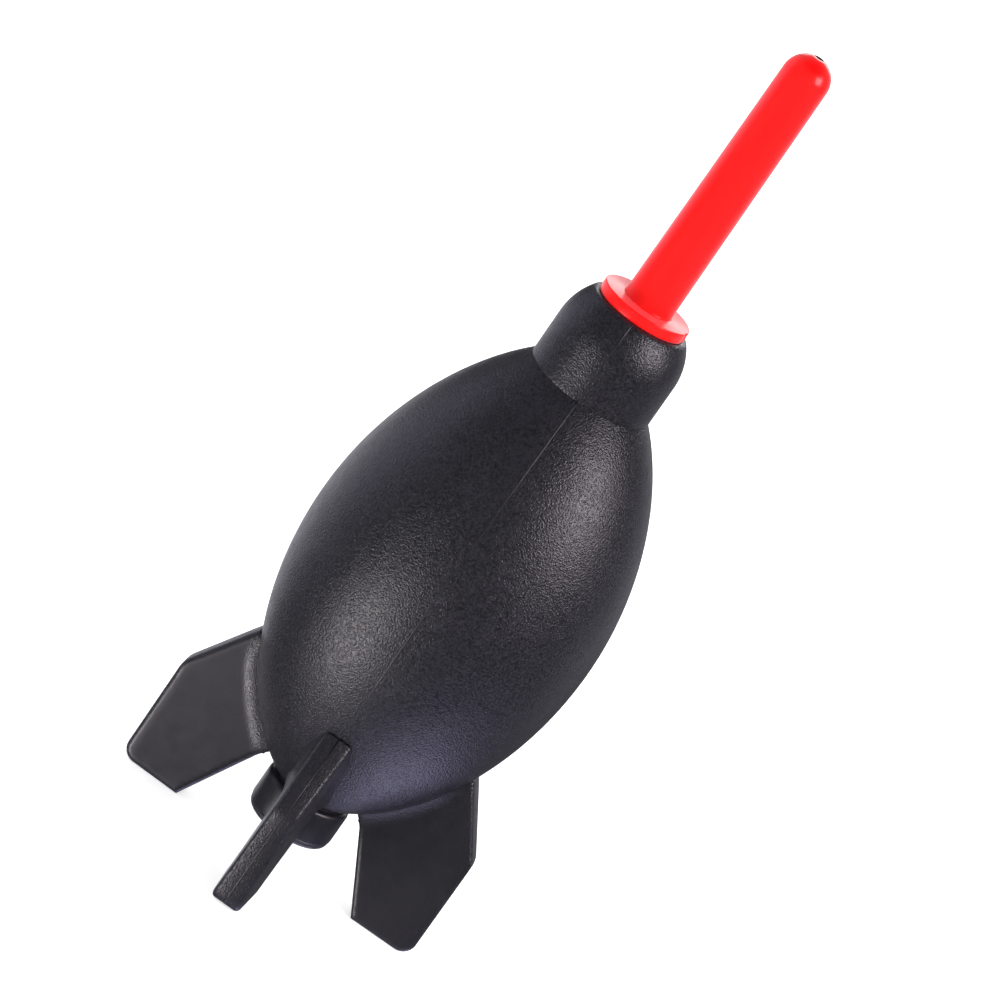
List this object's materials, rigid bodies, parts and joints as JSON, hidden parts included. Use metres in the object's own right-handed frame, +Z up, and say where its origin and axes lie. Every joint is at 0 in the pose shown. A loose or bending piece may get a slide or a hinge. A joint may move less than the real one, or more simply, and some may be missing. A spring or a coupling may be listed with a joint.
{
  "type": "dust blower bulb",
  "caption": "Rocket-shaped rubber squeeze bulb standing on fins, with a pull-out air nozzle on top and a one-way intake valve at the tail, for puffing dust off small work.",
  "frame": {"origin": "centre of the surface that the fins stand on, on the bulb's axis", "axes": "+Z up the bulb's axis to the nozzle's tip, -Y to the front fin, +X to the right fin"},
  "size_m": [0.0684, 0.0684, 0.1905],
  "materials": {
    "rubber": "fine leather grain, semi-gloss",
    "nozzle_plastic": "moulded, glossy",
    "valve_plastic": "moulded, satin",
    "valve_silicone": "smooth, slightly translucent"
  },
  "bodies": {
    "bulb": {"bulb_body": "rubber", "neck_collar": "rubber", "tail_boss": "rubber", "fin_front": "rubber", "fin_right": "rubber", "fin_rear": "rubber", "fin_left": "rubber", "valve_housing": "valve_plastic", "valve_cage": "valve_plastic"},
    "wall_left": {"squeeze_wall_left": "rubber"},
    "wall_right": {"squeeze_wall_right": "rubber"},
    "nozzle": {"nozzle": "nozzle_plastic"},
    "disc": {"valve_disc": "valve_silicone"}
  },
  "joints": [
    {"name": "squeeze_left", "type": "slide", "parent": "bulb", "child": "wall_left", "axis": [1, 0, 0], "range_m": [0, 0.01], "stiffness_N_per_m": 1000},
    {"name": "squeeze_right", "type": "slide", "parent": "bulb", "child": "wall_right", "axis": [-1, 0, 0], "range_m": [0, 0.01], "stiffness_N_per_m": 1000},
    {"name": "nozzle_pull", "type": "slide", "parent": "bulb", "child": "nozzle", "axis": [0, 0, 1], "range_m": [0, 0.025]},
    {"name": "disc_lift", "type": "slide", "parent": "bulb", "child": "disc", "axis": [0, 0, 1], "range_m": [0, 0.0012]}
  ],
  "couplings": [
    {"joint": "squeeze_right", "follows": "squeeze_left", "ratio": 1}
  ]
}
